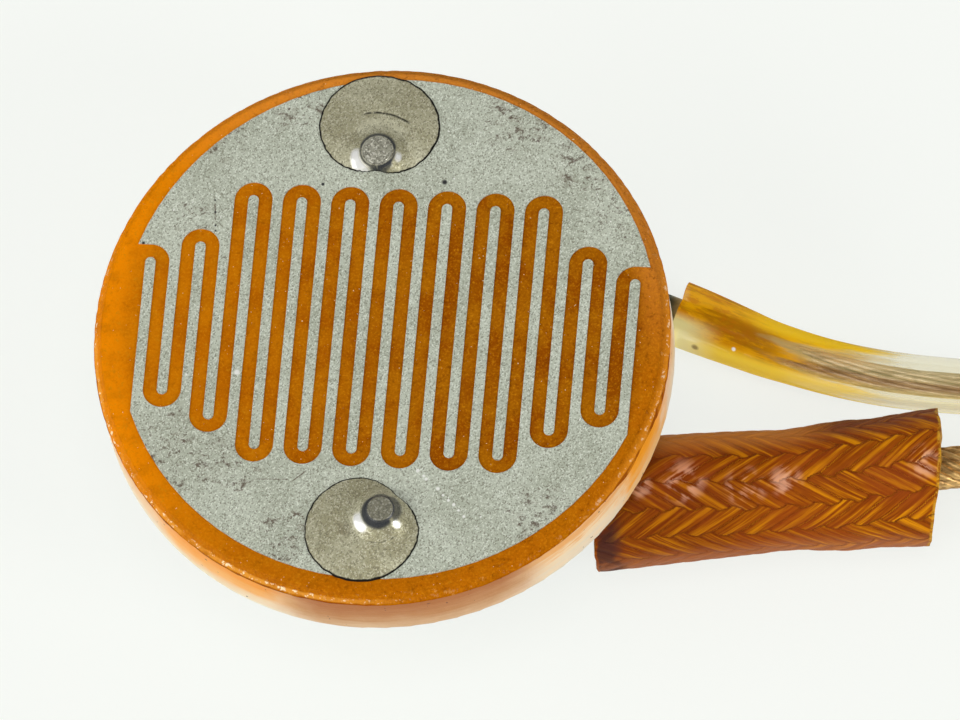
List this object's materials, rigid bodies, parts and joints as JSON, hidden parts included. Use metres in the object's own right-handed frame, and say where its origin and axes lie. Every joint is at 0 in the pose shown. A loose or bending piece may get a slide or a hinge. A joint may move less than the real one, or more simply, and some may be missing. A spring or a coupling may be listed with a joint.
{
  "type": "photoresistor",
  "caption": "Bare round photoresistor cell: ceramic disc with an orange light-sensitive film, silver comb electrodes, soldered wires and two flexible leads.",
  "frame": {"origin": "centre of the ceramic disc, on its axis at half its thickness", "axes": "+Z along the disc's axis out of the sensing face, +Y along the comb's fingers towards the upper solder pad, leads leave along +X"},
  "size_m": [0.044, 0.012, 0.0051],
  "materials": {
    "ceramic": "fired, slightly translucent, stained orange by the film",
    "orange_film": "glossy sintered film with fine mottling",
    "printed_metal": "matte evaporated metal with dark grain",
    "solder": "grainy solder, bright where it climbs the wire",
    "tinned_wire": "dull tinned wire",
    "clear_insulation": "clear soft plastic, yellowed at the joint",
    "tinned_strands": "fine tinned copper strands",
    "varnished_braid": "amber varnished glass-fibre braid",
    "copper_strands": "twisted bare copper strands"
  },
  "bodies": {
    "root": {"ceramic_substrate": "ceramic", "photoconductive_layer": "orange_film", "upper_electrode": "printed_metal", "lower_electrode": "printed_metal", "upper_solder_joint": "solder", "lower_solder_joint": "solder", "upper_lead_wire": "tinned_wire", "lower_lead_wire": "tinned_wire", "upper_splice": "solder", "lower_splice": "solder", "clear_insulation": "clear_insulation", "upper_strands": "tinned_strands", "braided_sleeve": "varnished_braid", "lower_strands": "copper_strands"}
  },
  "joints": []
}
